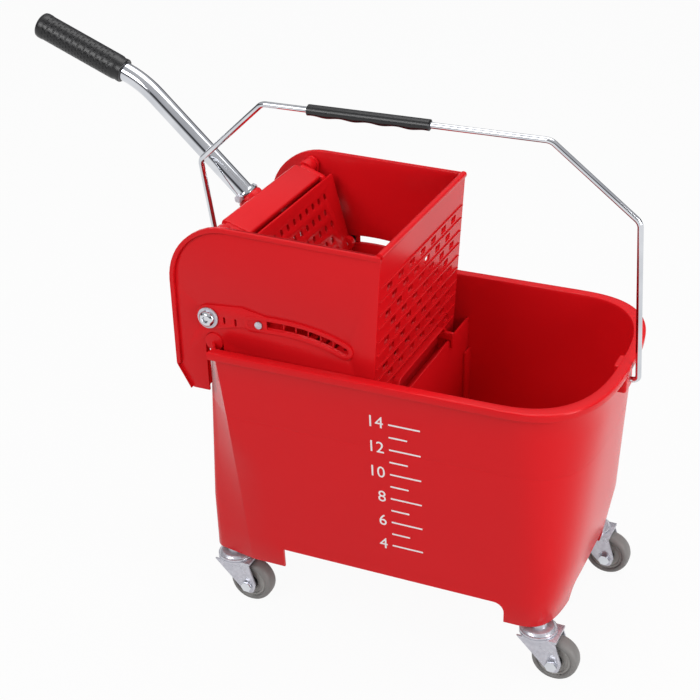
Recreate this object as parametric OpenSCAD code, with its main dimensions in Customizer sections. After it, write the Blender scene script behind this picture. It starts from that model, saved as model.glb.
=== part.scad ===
// Mop bucket with a side-press wringer, on four swivel castors.
// Millimetres, +Z up. The origin is on the floor under the middle of the bucket:
// +X is the pouring nose, -X the wringer and its lever, and Y = 0 is the mid plane.

/* [Bucket] */
// Length of the rim from the wringer end to the nose
rim_l = 448; // [420:1:520]
// Width over the rim
rim_w = 280; // [270:1:320]
// Height of the rim above the floor
rim_h = 330; // [320:1:360]
// Width across the bottom of the legs
base_w = 236; // [230:1:250]
// Thickness of the bucket's walls
wall_t = 3; // [2.5:0.1:4]
// How far the rim overhangs the wall
lip_out = 9; // [6:0.5:10]
// Height of the rim's lip
lip_h = 9; // [7:0.5:12]
// Height of the leg bottoms above the floor
leg_z = 66; // [64:0.5:70]
// Height of the skirt between the legs
skirt_z = 90; // [84:1:92]
// Height of the underside of the bucket's floor
floor_z = 97; // [95:1:110]
// Length of each leg along the long side
leg_l = 38; // [30:1:60]

/* [Castors] */
// Diameter of a castor wheel
wheel_d = 50; // [46:1:52]
// Width of the tyre
wheel_w = 19; // [16:0.5:22]
// Distance that a wheel trails its swivel
trail = 20; // [16:1:22]
// Diameter of the castor stem
stem_d = 11; // [9:0.5:12]
// Distance between the stems along the bucket
castor_span_x = 354; // [340:1:360]
// Distance between the stems across the bucket
castor_span_y = 200; // [190:1:206]

/* [Wringer] */
// Height of the wringer's top edge
wringer_h = 461; // [450:1:480]
// Width over the wringer's side plates
wringer_w = 230; // [222:1:232]
// Thickness of the wringer's plates
plate_t = 3; // [2.5:0.1:4]
// Radius of the round back corner of each side plate
back_r = 66; // [50:1:75]
// Height of the wringer's drain floor
drain_z = 262; // [258:1:266]
// Distance between the ribs of the slotted wall
rib_pitch = 15; // [13:0.5:17]
// Height of the guide slot in each side plate
slot_h = 8.6; // [8.4:0.1:10]
// Diameter of the pivot bolts
bolt_d = 10; // [8:0.5:12]
// Diameter of the press plate's guide pins
guide_pin_d = 7.6; // [6:0.1:8]
// Diameter of the press plate's hinge pin
hinge_pin_d = 6; // [5:0.5:7]
// Thickness of the press plate
press_t = 3; // [2.5:0.1:4]
// Angle through which the lever swings
lever_swing = 46; // [40:1:46]

/* [Lever] */
// Diameter of the lever tube
tube_d = 20; // [16:0.5:22]
// Diameter of the rubber grip
grip_d = 28; // [26:0.5:32]
// Length of the rubber grip
grip_l = 108; // [90:1:130]

/* [Carrying bail] */
// Diameter of the bail's wire
wire_d = 6; // [5:0.5:7]
// Height of the bail above its feet
bail_h = 266; // [255:1:300]
// Height of the bail's legs up to the bend
bail_leg = 190; // [170:1:200]
// Length of the straight top bar
bail_top = 294; // [260:1:320]
// Angle that the bail leans from upright
bail_lean = 12; // [8:1:30]
// Length of the finger grip
finger_l = 129; // [100:1:140]
// Diameter of the finger grip
finger_d = 13; // [11:0.5:16]

/* [Partition] */
// Height of the partition's top edge
part_top_z = 280; // [274:1:282]
// Thickness of the partition
part_t = 3; // [2.5:0.1:4]

/* [Hidden] */
$fn = 48;
eps = 0.5;
run_gap = 0.05;     // radial gap of a running fit
seat_gap = 0.3;     // gap between pieces that rest on or slide past each other
shell_red = "#d3202c";
zinc = "#b9bcc2";
chrome = "#d5d8dc";
black = "#1c1c1e";
tyre_grey = "#96928c";

// ---- Bucket outlines -------------------------------------------------------
// A level of the bucket: [z, half width, crease x, shoulder x, shoulder y,
// end x at the wringer side, nose x, nose length, nose exponent].
rim_x = rim_l / 2;
wall_top_w = rim_w / 2 - lip_out;
base_half = base_w / 2;
heel_z = 132;
heel_w = base_half + (wall_top_w - base_half) * (heel_z - leg_z) / (rim_h - leg_z);
level_base = [leg_z, base_half, 70 - rim_x, 20 - rim_x, base_half - 9, 9 - rim_x,
    rim_x - 36, 52, 4];
level_heel = [heel_z, heel_w, 65 - rim_x, 19.5 - rim_x, heel_w - 13, 7 - rim_x,
    rim_x - 24, 56, 3.6];
level_rim = [rim_h, wall_top_w, 46 - rim_x, 19 - rim_x, wall_top_w - 43, 6.5 - rim_x,
    rim_x - lip_out, 95, 2.8];
end_flat = 60;
nose_steps = 12;

function unit(v) = v / norm(v);
function wrap(a) = a > 180 ? a - 360 : (a < -180 ? a + 360 : a);

// Points of an arc of radius r that rounds the corner b between a and c.
function fillet(a, b, c, r, n = 6) =
    let (u = unit(a - b), v = unit(c - b), half = acos(u * v) / 2,
        m = b + unit(u + v) * r / sin(half),
        p = b + u * r / tan(half), q = b + v * r / tan(half),
        a0 = atan2(p.y - m.y, p.x - m.x),
        sweep = wrap(atan2(q.y - m.y, q.x - m.x) - a0))
    [for (i = [0:n]) m + r * [cos(a0 + sweep * i / n), sin(a0 + sweep * i / n)]];

// A closed outline with the corner i of pts rounded to radii[i] (0 keeps it sharp).
function rounded(pts, radii, n = 6) =
    let (k = len(pts))
    [for (i = [0:k - 1])
        each (radii[i] > 0
            ? fillet(pts[(i + k - 1) % k], pts[i], pts[(i + 1) % k], radii[i], n)
            : [pts[i]])];

function nose_point(v, inset, a) =
    let (w = v[1] - inset, l = v[7] - inset / 2, p = 2 / v[8])
    [v[6] - v[7] - inset / 2 + l * pow(cos(a), p), sign(a) * w * pow(abs(sin(a)), p)];

// One side of the wringer end, from the crease to the flat of the end wall.
function corner_points(v, inset) =
    let (crease = [v[2] + inset * 0.4, v[1] - inset],
        shoulder = [v[3] + inset * 0.9, v[4] - inset * 0.6],
        flat = [v[5] + inset, end_flat])
    concat([crease], fillet(crease, shoulder, flat, 11, 4), [flat]);

function flip(pts) = [for (i = [len(pts) - 1:-1:0]) [pts[i].x, -pts[i].y]];

function bucket_plan(v, inset) =
    concat([for (i = [-nose_steps:nose_steps]) nose_point(v, inset, 90 * i / nose_steps)],
        corner_points(v, inset), flip(corner_points(v, inset)));

// A solid through the three levels, drawn in by inset, that reaches over further at
// its top and bottom.
module bucket_solid(inset, over = 0) {
    base = bucket_plan(level_base, inset);
    heel = bucket_plan(level_heel, inset);
    rim = bucket_plan(level_rim, inset);
    n = len(heel);
    down = over / (heel_z - leg_z);
    up = over / (rim_h - heel_z);
    points = concat(
        [for (i = [0:n - 1]) let (p = base[i] + (base[i] - heel[i]) * down)
            [p.x, p.y, leg_z - over]],
        [for (p = heel) [p.x, p.y, heel_z]],
        [for (i = [0:n - 1]) let (p = rim[i] + (rim[i] - heel[i]) * up)
            [p.x, p.y, rim_h + over]]);
    sides = [for (k = [0:1], i = [0:n - 1])
        let (a = k * n + i, b = k * n + (i + 1) % n)
            each [[a, a + n, b], [b, a + n, b + n]]];
    polyhedron(points, concat([[for (i = [0:n - 1]) i]],
        [[for (i = [n - 1:-1:0]) 2 * n + i]], sides));
}

// ---- Bucket ----------------------------------------------------------------
// Where each side plate of the wringer straddles the bucket's cut-in corner.
plate_y = wringer_w / 2;
stud_x = level_rim[2] - 7.2;
stud_r = 10;
stud_w = 12;
bail_x = rim_x + 6;
bail_z = rim_h - 20;
foot_x = rim_x - lip_out - 0.5;    // inner end of the wire's feet
lug_w = 24;
lug_x = rim_x - 3;                 // outer face of the lug
castor_shift_x = -9;
castor_x = castor_span_x / 2;
castor_y = castor_span_y / 2;
boss_r = stem_d / 2 + 3;
part_x = 4;
guide_t = 3;
guide_top_z = part_top_z - 37;

module bucket_lip() {
    difference() {
        translate([0, 0, rim_h - lip_h]) linear_extrude(lip_h)
            polygon(bucket_plan(level_rim, -lip_out));
        for (s = [-1, 1])
            translate([-rim_x - 30, s > 0 ? end_flat + 28 : -rim_w, rim_h - lip_h - eps])
                cube([level_rim[2] + rim_x + 30 - 4, rim_w - end_flat - 28, lip_h + 2 * eps]);
    }
}

module arch_cut() {
    x0 = level_base[2] + leg_l;
    x1 = rim_x - 88;
    rotate([90, 0, 0]) translate([0, 0, -rim_w]) linear_extrude(2 * rim_w)
        polygon(rounded([[x0, leg_z - 5], [x0, skirt_z], [x1, skirt_z], [x1 - 1, leg_z - 5]],
            [0, 0, 11, 0]));
    translate([-rim_l, 0, 0]) rotate([90, 0, 90]) linear_extrude(2 * rim_l)
        polygon(rounded([[-end_flat, leg_z - 5], [-end_flat + 4, skirt_z - 2],
            [end_flat - 4, skirt_z - 2], [end_flat, leg_z - 5]], [0, 12, 12, 0]));
}

module castor_places() {
    for (sx = [-1, 1], sy = [-1, 1])
        translate([castor_shift_x + sx * castor_x, sy * castor_y, 0]) children();
}

module bail_lug(s) {
    wall_x = rim_x - lip_out - 6;
    translate([s * (wall_x + lug_x) / 2, 0, rim_h - 16])
        cube([lug_x - wall_x, lug_w, 30], center = true);
}

module partition_guides() {
    for (s = [-1, 1], side = [-1, 1])
        translate([part_x + side * (part_t / 2 + seat_gap + guide_t / 2) - guide_t / 2,
            s > 0 ? base_half - 11 : -wall_top_w, floor_z + eps])
            cube([guide_t, wall_top_w - base_half + 11, guide_top_z - floor_z]);
}

module bucket() color(shell_red) {
    difference() {
        union() {
            difference() {
                union() {
                    bucket_solid(0);
                    bucket_lip();
                }
                difference() {
                    bucket_solid(wall_t, 2);
                    translate([-rim_l, -rim_w, floor_z]) cube([2 * rim_l, 2 * rim_w, wall_t]);
                    partition_guides();
                    castor_places() translate([0, 0, leg_z])
                        cylinder(r = boss_r, h = floor_z - leg_z + 1);
                }
                arch_cut();
            }
            for (s = [-1, 1]) {
                bail_lug(s);
                translate([stud_x, s * (plate_y - plate_t / 2) + stud_w / 2, rim_h])
                    rotate([90, 0, 0]) cylinder(r = stud_r, h = stud_w);
            }
        }
        castor_places() translate([0, 0, leg_z - 1])
            cylinder(d = stem_d, h = floor_z - leg_z);
        for (s = [-1, 1]) translate([s * (foot_x - seat_gap), 0, bail_z]) rotate([0, s * 90, 0])
            cylinder(d = wire_d + 2 * run_gap, h = 30);
    }
}

module partition() color(shell_red) {
    z0 = floor_z + wall_t + seat_gap;
    slope = (wall_top_w - base_half) / (rim_h - leg_z);
    y0 = base_half - wall_t - seat_gap - 0.4 + slope * (z0 - leg_z);
    y1 = base_half - wall_t - seat_gap - 0.4 + slope * (part_top_z - leg_z);
    translate([part_x - part_t / 2, 0, 0]) rotate([90, 0, 90]) linear_extrude(part_t)
        polygon([[-y0, z0], [y0, z0], [y1, part_top_z], [-y1, part_top_z]]);
}

// ---- Bail --------------------------------------------------------------------
// A round bar in the X-Z plane that starts along +Z, with a ball at each corner.
// runs are the lengths between the corners, and turns the angle at each corner,
// positive towards +X.
ball_over = 0.4;
module bent_bar(d, runs, turns, i = 0) {
    cylinder(d = d, h = runs[i]);
    if (i < len(turns)) translate([0, 0, runs[i]]) {
        sphere(d = d + ball_over);
        rotate([0, turns[i], 0]) bent_bar(d, runs, turns, i + 1);
    }
}

module bail_frame() {
    translate([0, 0, bail_z]) rotate([bail_lean, 0, 0]) children();
}

module bail_wire() color(chrome) bail_frame() {
    foot = bail_x - foot_x;
    out = bail_x - bail_top / 2;
    up = bail_h - bail_leg;
    slope = atan2(out, up);
    rise = norm([out, up]);
    translate([-foot_x, 0, 0]) rotate([0, -90, 0])
        bent_bar(wire_d, [foot, bail_leg, rise, bail_top, rise, bail_leg, foot],
            [90, slope, 90 - slope, 90 - slope, slope, 90]);
}

finger_x = -98;                    // where the grip starts on the top bar
module bail_grip() color(black) bail_frame() {
    translate([finger_x, 0, bail_h]) rotate([0, 90, 0]) difference() {
        cylinder(d = finger_d, h = finger_l);
        translate([0, 0, -eps]) cylinder(d = wire_d + 2 * run_gap, h = finger_l + 1);
    }
}

// ---- Wringer -----------------------------------------------------------------
// The press linkage, in the X-Z plane: pivot A, hinge B on the press frame and
// guide pin C on the press plate. While the frame turns by t the plate turns back
// by press_ratio * t about B, and the slot follows the path of C.
pivot_a = [35 - rim_x, 358];
hinge_b = [47 - rim_x, 445];
guide_c = [93 - rim_x, 360];
press_ratio = 1.5;
slot_steps = 12;
function turn(v, a) = [v.x * cos(a) - v.y * sin(a), v.x * sin(a) + v.y * cos(a)];
function hinge_at(t) = pivot_a + turn(hinge_b - pivot_a, -t);
function guide_at(t) = hinge_at(t) + turn(guide_c - hinge_b, (press_ratio - 1) * t);
slot_path = [for (i = [-1:slot_steps + 1]) guide_at(lever_swing * i / slot_steps)];

// A band of half height h along a path, with round ends.
cap_steps = 10;
function band(path, h) =
    let (k = len(path), n = [for (i = [0:k - 1])
        turn(unit(path[min(i + 1, k - 1)] - path[max(i - 1, 0)]), 90)])
    concat([for (i = [0:k - 1]) path[i] + h * n[i]],
        [for (i = [1:cap_steps - 1]) path[k - 1] + h * turn(n[k - 1], -180 * i / cap_steps)],
        [for (i = [k - 1:-1:0]) path[i] - h * n[i]],
        [for (i = [1:cap_steps - 1]) path[0] - h * turn(n[0], -180 * i / cap_steps)]);

front_x = 3;                      // outer face of the slotted wall at its top
front_lean = 0.068;               // how much it leans back for each mm down
function front_at(z) = front_x - front_lean * (wringer_h - 4 - z);
back_x = -rim_x - 7;
tail_x = 40 - rim_x;
tail_z = 270;
notch_r = stud_r + seat_gap;
tail_flange = 4.5;                // depth of the flange along the notch's back edge
side_pts = [[back_x, wringer_h], [front_at(wringer_h - 5), wringer_h - 5],
    [front_at(drain_z), drain_z], [stud_x + 20, drain_z], [stud_x + 14, tail_z],
    [tail_x - 2, tail_z], [tail_x - 32, tail_z], [back_x, tail_z + 27]];
side_radii = [back_r, 6, 3, 2, 2, 0, 5, 6];
bead_w = 4;
bead_out = 4;
shelf_y = 66;
shelf_top_z = part_top_z + 13;

// Places a shape drawn in the X-Z plane between y0 and y1 on side s.
module at_side(s, y0, y1) {
    translate([0, s > 0 ? y1 : -y0, 0]) rotate([90, 0, 0]) linear_extrude(y1 - y0) children();
}

module across(half) {
    translate([0, half, 0]) rotate([90, 0, 0]) linear_extrude(2 * half) children();
}

module stud_notch() {
    translate([stud_x, rim_h]) circle(r = notch_r);
    translate([stud_x - notch_r, drain_z - 10]) square([2 * notch_r, rim_h - drain_z + 10]);
}

module slot_outline(h) {
    polygon(band(slot_path, h));
}

module side_outline() {
    polygon(rounded(side_pts, side_radii, 8));
}

// The raised rib along the top and back edges of a side plate.
module side_bead() {
    difference() {
        side_outline();
        polygon(rounded(concat(
            [[back_x + bead_w, wringer_h - bead_w], [front_x + 40, wringer_h - bead_w - 7]],
            [[front_x + 40, drain_z - 40], [back_x + bead_w, drain_z - 40]]),
            [back_r - bead_w, 0, 0, 0], 8));
    }
}

module slot_rib() {
    polygon([pivot_a + [0, 14], pivot_a + [38, 17.5], slot_path[2] + [0, slot_h / 2 + 5],
        slot_path[2] - [0, slot_h / 2 + 5], pivot_a + [38, -5], pivot_a + [0, -14]]);
    translate(pivot_a) circle(r = 14);
    slot_outline(slot_h / 2 + 5);
}

module side_plate(s) {
    difference() {
        union() {
            at_side(s, plate_y - plate_t, plate_y) side_outline();
            at_side(s, plate_y - eps, plate_y + bead_out) side_bead();
            at_side(s, plate_y - eps, plate_y + 2) slot_rib();
            at_side(s, plate_y - plate_t - tail_flange, plate_y - eps)
                translate([stud_x - notch_r - 2.5, tail_z + 6])
                    square([2.5, rim_h - tail_z]);
        }
        at_side(s, plate_y - 10, plate_y + 10) slot_outline(slot_h / 2);
        at_side(s, plate_y - 10, plate_y + 10) stud_notch();
        at_side(s, plate_y - 10, plate_y + 10) translate(pivot_a)
            circle(d = bolt_d + 2 * run_gap);
    }
}

rib_top_z = wringer_h - 40;
rib_count = 10;
window_w = 15;
window_pitch = 29;
module slotted_wall() {
    half = plate_y - plate_t + eps;
    slant = [[front_at(drain_z) - plate_t, drain_z], [front_at(drain_z), drain_z],
        [front_at(wringer_h - 5), wringer_h - 5],
        [front_at(wringer_h - 5) - plate_t, wringer_h - 5]];
    difference() {
        across(half) polygon(slant);
        for (i = [0:rib_count - 2], j = [-4:4])
            let (y = (j + (i % 2) / 2) * window_pitch, z = rib_top_z - (i + 1) * rib_pitch + 3)
                if (abs(y) < half - window_w)
                    translate([front_at(z) - 8, y - window_w / 2, z])
                        cube([16, window_w, rib_pitch - 6]);
    }
    for (i = [0:rib_count - 1])
        let (z = rib_top_z - i * rib_pitch)
            translate([front_at(z) - 1, -plate_y, z - 0.7]) cube([3.4, 2 * plate_y, 1.4]);
    translate([front_at(wringer_h - 5) - plate_t / 2, plate_y - 1, wringer_h - 5.5])
        rotate([90, 0, 0]) cylinder(d = plate_t + 4, h = 2 * plate_y - 2);
}

// The lip at the foot of the slotted wall, which sits on the partition's top edge.
module partition_hook() {
    z0 = part_top_z + seat_gap;
    reach = part_x + part_t / 2 + 4;
    translate([front_at(z0) - 1, -shelf_y, z0]) cube([4, 2 * shelf_y, shelf_top_z - z0]);
    for (s = [-1, 1]) translate([front_at(z0) - 1, s * shelf_y - 4, z0])
        cube([reach - front_at(z0) + 1, 8, shelf_top_z - z0]);
    for (s = [-1, 1]) translate([reach - 3, s * shelf_y - 4, z0 - 9])
        cube([3, 8, 10]);
}

drain_x0 = stud_x + 15;
drain_cols = 11;
back_wall_h = 78;
module drain_floor() {
    length = front_at(drain_z) - 1 - drain_x0;
    pitch = length / (drain_cols + 1);
    difference() {
        translate([drain_x0, -plate_y + plate_t - eps, drain_z])
            cube([length, 2 * (plate_y - plate_t + eps), plate_t]);
        for (i = [1:drain_cols], j = [-2:2])
            translate([drain_x0 + i * pitch - 2.5, j * 42 - 15, drain_z - 1]) cube([5, 30, 8]);
    }
    translate([drain_x0, -plate_y + plate_t - eps, drain_z])
        cube([plate_t, 2 * (plate_y - plate_t + eps), back_wall_h]);
}

module wringer_body() color(shell_red) {
    for (s = [-1, 1]) side_plate(s);
    slotted_wall();
    partition_hook();
    drain_floor();
}

// ---- Pivots --------------------------------------------------------------------
arm_out = plate_y - plate_t - 1;
arm_t = 5;
washer_t = 2;
head_h = 5;
module along_side(s, p, y) {
    translate([p.x, s * y, p.y]) rotate([s > 0 ? -90 : 90, 0, 0]) children();
}

module pivot_bolts() color(chrome)
    for (s = [-1, 1]) along_side(s, pivot_a, arm_out - arm_t - 9) {
        length = plate_y + 2 + washer_t + seat_gap - (arm_out - arm_t - 9);
        cylinder(d = bolt_d, h = length);
        translate([0, 0, length]) difference() {
            union() {
                cylinder(d = 17, h = head_h * 0.5);
                translate([0, 0, head_h * 0.5]) cylinder(d1 = 17, d2 = 12, h = head_h * 0.5);
            }
            translate([0, 0, 2]) cylinder(d = 7, h = head_h, $fn = 6);
        }
    }

module pivot_washers() color(zinc)
    for (s = [-1, 1]) along_side(s, pivot_a, plate_y + 2 + seat_gap / 2) difference() {
        cylinder(d = 23, h = washer_t);
        translate([0, 0, -eps]) cylinder(d = bolt_d + 2 * run_gap, h = washer_t + 1);
    }

module pivot_nuts() color(zinc)
    for (s = [-1, 1]) along_side(s, pivot_a, arm_out - arm_t - 8.5) difference() {
        cylinder(d = 18.5, h = 8, $fn = 6);
        translate([0, 0, -eps]) cylinder(d = bolt_d, h = 9);
    }

// ---- Press frame and plate -------------------------------------------------------
lever_a = 136.5;                   // direction of the lever's lower run
lever_out = [27 - rim_x, 444];     // where its centre line leaves the cap
lever_dir = [cos(lever_a), sin(lever_a)];
cap_half = 82;
ear_t = 8;
ear_gap = 0.6;
socket_d = tube_d + 9;
socket_out = 11;                   // how far the socket stands out of the cap
press_half = arm_out - arm_t - 2;
cap_pts = [[hinge_b.x - 14, hinge_b.y - 15], [hinge_b.x - 8, hinge_b.y + 9],
    [hinge_b.x + 20, hinge_b.y - 1], [hinge_b.x + 16, hinge_b.y - 13],
    [hinge_b.x - 2, hinge_b.y - 20]];
panel_pts = [[hinge_b.x - 15, hinge_b.y - 6], [hinge_b.x - 9, hinge_b.y - 8],
    [hinge_b.x - 13, hinge_b.y - 34], [pivot_a.x - 3, pivot_a.y + 20],
    [pivot_a.x - 8, pivot_a.y + 20], [hinge_b.x - 20, hinge_b.y - 34]];
module along_lever(p, start) {
    translate([p.x + lever_dir.x * start, 0, p.y + lever_dir.y * start])
        rotate([0, 90 - lever_a, 0]) children();
}

module arm_outline() {
    translate(pivot_a) circle(r = 13);
    translate(hinge_b) circle(r = 9);
    polygon([pivot_a + [13, 0], hinge_b + [9, 0], hinge_b - [9, 0], pivot_a - [13, 0]]);
}

module press_frame() color(shell_red) {
    difference() {
        union() {
            for (s = [-1, 1]) at_side(s, arm_out - arm_t, arm_out) arm_outline();
            across(cap_half) polygon(rounded(cap_pts, [3, 4, 2, 2, 3], 3));
            across(arm_out - arm_t + eps) polygon(panel_pts);
            along_lever(lever_out, -22) cylinder(d = socket_d, h = 22 + socket_out);
        }
        for (s = [-1, 1]) at_side(s, arm_out - arm_t - 2, arm_out + 2) translate(pivot_a)
            circle(d = bolt_d + 2 * run_gap);
        across(arm_out + 5) translate(hinge_b) circle(d = hinge_pin_d);
        along_lever(lever_out, -24) cylinder(d = tube_d + 2 * run_gap, h = 60);
        along_lever(lever_out, socket_out / 2) rotate([90, 0, 0])
            cylinder(d = lever_bolt_d, h = 60, center = true);
        for (s = [-1, 1]) at_side(s, cap_half, cap_half + ear_t + 2 * ear_gap)
            translate(hinge_b) circle(r = 13);
    }
}

module hinge_pin() color(zinc)
    across(arm_out - 0.5) translate(hinge_b) circle(d = hinge_pin_d);

module hinge_pin_clips() color(zinc)
    for (s = [-1, 1]) at_side(s, arm_out - arm_t - 1.5 - seat_gap, arm_out - arm_t - seat_gap)
        translate(hinge_b) difference() {
            circle(d = hinge_pin_d + 6);
            circle(d = hinge_pin_d);
        }

plate_top = [hinge_b.x + 27, hinge_b.y - 9];
plate_dir = unit(guide_c - plate_top);
plate_len = norm(guide_c - plate_top) + 24;
plate_normal = turn(plate_dir, 90);
hole_d = 6;
hole_rows = 6;
hole_cols = 6;
module press_plate() color(shell_red) {
    p0 = plate_top - plate_dir * 3;
    p1 = plate_top + plate_dir * plate_len;
    h = plate_normal * press_t / 2;
    difference() {
        union() {
            across(press_half) polygon([p0 + h, p1 + h, p1 - h, p0 - h]);
            for (s = [-1, 1]) at_side(s, cap_half + ear_gap, cap_half + ear_gap + ear_t) {
                translate(hinge_b) circle(r = 6.5);
                polygon([hinge_b + [-1, 6.4], plate_top + [0, 5], p0 + h,
                    plate_top + plate_dir * 26, hinge_b + [-1, -6.4]]);
            }
            for (s = [-1, 1]) at_side(s, press_half - 8, press_half)
                translate(guide_c) circle(r = 8);
        }
        across(press_half + 5) translate(hinge_b) circle(d = hinge_pin_d + 2 * run_gap);
        for (s = [-1, 1]) at_side(s, press_half - 10, press_half + 5)
            translate(guide_c) circle(d = guide_pin_d - 2);
        for (i = [0:hole_rows - 1], j = [-hole_cols:hole_cols])
            let (p = plate_top + plate_dir * (14 + i * 16), y = (j + (i % 2) / 2) * 15)
                if (abs(y) < press_half - 14 && abs(abs(y) - cap_half - ear_t / 2) > 9)
                    translate([p.x, y, p.y])
                        rotate([0, 90 - atan2(plate_normal.y, plate_normal.x), 0])
                            cylinder(d = hole_d, h = 20, center = true, $fn = 20);
    }
}

module guide_pins() color(zinc)
    for (s = [-1, 1]) along_side(s, guide_c, press_half - 8) {
        cylinder(d = guide_pin_d - 2, h = plate_y + 2.4 - press_half + 8);
        translate([0, 0, plate_y + 2.4 - press_half + 8]) cylinder(d = guide_pin_d + 0.4, h = 1.6);
    }

module guide_pin_rollers() color(black)
    for (s = [-1, 1]) along_side(s, guide_c, press_half + seat_gap) difference() {
        cylinder(d = guide_pin_d, h = plate_y + 2 - press_half - seat_gap);
        translate([0, 0, -eps]) cylinder(d = guide_pin_d - 2 + 2 * run_gap, h = 30);
    }

// ---- Lever -------------------------------------------------------------------------
lever_bolt_d = 5;
lever_run = 164;                   // from the cap to the crossing of the two runs
lever_bend = 21;                   // angle between the runs
upper_run = 132;                   // from the crossing to the end of the grip
tube_in = 20;                      // how far the tube goes into the cap
module upper_frame() {
    translate([lever_out.x + lever_dir.x * lever_run, 0, lever_out.y + lever_dir.y * lever_run])
        rotate([0, 90 - lever_a - lever_bend, 0]) children();
}

module lever_tube() color(chrome) difference() {
    along_lever(lever_out, -tube_in)
        bent_bar(tube_d, [tube_in + lever_run, upper_run - 6], [-lever_bend]);
    along_lever(lever_out, socket_out / 2) rotate([90, 0, 0])
        cylinder(d = lever_bolt_d, h = 60, center = true);
}

module lever_ferrule() color(chrome) along_lever(lever_out, socket_out + seat_gap) difference() {
    cylinder(d = tube_d + 7, h = 6);
    translate([0, 0, -eps]) cylinder(d = tube_d + 2 * run_gap, h = 8);
}

module lever_bolt() color(zinc) along_lever(lever_out, socket_out / 2) rotate([90, 0, 0]) {
    cylinder(d = lever_bolt_d, h = socket_d + 2, center = true);
    for (s = [-1, 1]) translate([0, 0, s * (socket_d / 2 + 2.5)])
        cylinder(d = 9, h = 3.5, center = true, $fn = 6);
}

module lever_grip() color(black) upper_frame() translate([0, 0, upper_run - grip_l])
    difference() {
        union() {
            cylinder(d1 = tube_d + 6, d2 = grip_d, h = 8);
            translate([0, 0, 8]) cylinder(d = grip_d, h = grip_l - 12);
            translate([0, 0, grip_l - 4]) cylinder(d1 = grip_d, d2 = grip_d - 6, h = 4);
        }
        translate([0, 0, -eps]) cylinder(d = tube_d + 2 * run_gap, h = grip_l - 6 + eps);
    }

// ---- Castors -------------------------------------------------------------------------
axle_z = wheel_d / 2;
crown_z = wheel_d + 2;
crown_t = 2.5;
race_h = 3;
cup_t = 3;
fork_t = 2;
fork_in = wheel_w / 2 + 4;
axle_d = 8;
hub_d = 36;
module castor(i) {
    sx = i == 1 || i == 4 ? -1 : 1;
    sy = i <= 2 ? -1 : 1;
    translate([castor_shift_x + sx * castor_x, sy * castor_y, 0]) children();
}

module castor_stem() color(zinc) {
    cup_z = crown_z + crown_t + race_h;
    translate([0, 0, crown_z - 3.2]) cylinder(d = stem_d + 3, h = 3);
    translate([0, 0, crown_z - 1]) cylinder(d = stem_d, h = floor_z - crown_z - 1);
    translate([0, 0, cup_z]) cylinder(d1 = 38, d2 = 32, h = cup_t);
    translate([0, 0, cup_z]) cylinder(d = 18, h = leg_z - cup_z - seat_gap);
}

module castor_race() color(zinc) translate([0, 0, crown_z + crown_t + 0.1]) difference() {
    cylinder(d = 40, h = race_h - 0.3);
    translate([0, 0, -eps]) cylinder(d = 24, h = race_h + 1);
}

module castor_fork() color(zinc) {
    side = [[-19, crown_z], [22, crown_z], [trail + 10, axle_z + 2], [trail + 7, axle_z - 9],
        [trail - 2, axle_z - 10], [trail - 9, axle_z - 4]];
    difference() {
        union() {
            translate([0, 0, crown_z]) cylinder(d = 40, h = crown_t);
            translate([0, -fork_in - fork_t, crown_z])
                cube([19 + 5, 2 * (fork_in + fork_t), crown_t]);
            for (s = [-1, 1]) at_side(s, fork_in, fork_in + fork_t)
                polygon(rounded(side, [0, 2, 6, 5, 5, 5], 4));
        }
        translate([0, 0, crown_z - 1]) cylinder(d = stem_d + 2 * run_gap, h = 10);
        across(40) translate([trail, axle_z]) circle(d = axle_d);
    }
}

axle_end = fork_in + fork_t;
module castor_axle() color(chrome) translate([trail, -axle_end - 1.5, axle_z])
    rotate([-90, 0, 0]) {
        cylinder(d = axle_d, h = 2 * axle_end + 8);
        translate([0, 0, -3]) cylinder(d = 13, h = 4.4, $fn = 6);
    }

module castor_nut() color(zinc) translate([trail, axle_end + seat_gap / 3, axle_z])
    rotate([-90, 0, 0]) difference() {
        cylinder(d = 14, h = 5, $fn = 6);
        translate([0, 0, -eps]) cylinder(d = axle_d, h = 8);
    }

module castor_hub() color("#b4b2ae") translate([trail, 0, axle_z]) rotate([90, 0, 0])
    difference() {
        union() {
            cylinder(d = hub_d, h = wheel_w - 5, center = true);
            cylinder(d = 17, h = 2 * fork_in - 1, center = true);
        }
        cylinder(d = axle_d + 2 * run_gap, h = 4 * fork_in, center = true);
    }

tyre_r = hub_d / 2 + run_gap;
module castor_tyre() color(tyre_grey) translate([trail, 0, axle_z]) rotate([90, 0, 0])
    rotate_extrude() polygon(rounded([[tyre_r, -wheel_w / 2], [wheel_d / 2, -wheel_w / 2],
        [wheel_d / 2, wheel_w / 2], [tyre_r, wheel_w / 2]], [1.5, 6, 6, 1.5], 5));

bucket();
partition();
bail_wire();
bail_grip();
wringer_body();
pivot_bolts();
pivot_washers();
pivot_nuts();
press_frame();
hinge_pin();
hinge_pin_clips();
lever_bolt();
press_plate();
guide_pins();
guide_pin_rollers();
lever_tube();
lever_ferrule();
lever_grip();
castor(1) castor_stem();  // castor1_stem
castor(1) castor_race();  // castor1_race
castor(1) castor_fork();  // castor1_fork
castor(1) castor_axle();  // castor1_axle
castor(1) castor_nut();  // castor1_nut
castor(1) castor_hub();  // castor1_hub
castor(1) castor_tyre();  // castor1_tyre
castor(2) castor_stem();  // castor2_stem
castor(2) castor_race();  // castor2_race
castor(2) castor_fork();  // castor2_fork
castor(2) castor_axle();  // castor2_axle
castor(2) castor_nut();  // castor2_nut
castor(2) castor_hub();  // castor2_hub
castor(2) castor_tyre();  // castor2_tyre
castor(3) castor_stem();  // castor3_stem
castor(3) castor_race();  // castor3_race
castor(3) castor_fork();  // castor3_fork
castor(3) castor_axle();  // castor3_axle
castor(3) castor_nut();  // castor3_nut
castor(3) castor_hub();  // castor3_hub
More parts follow.
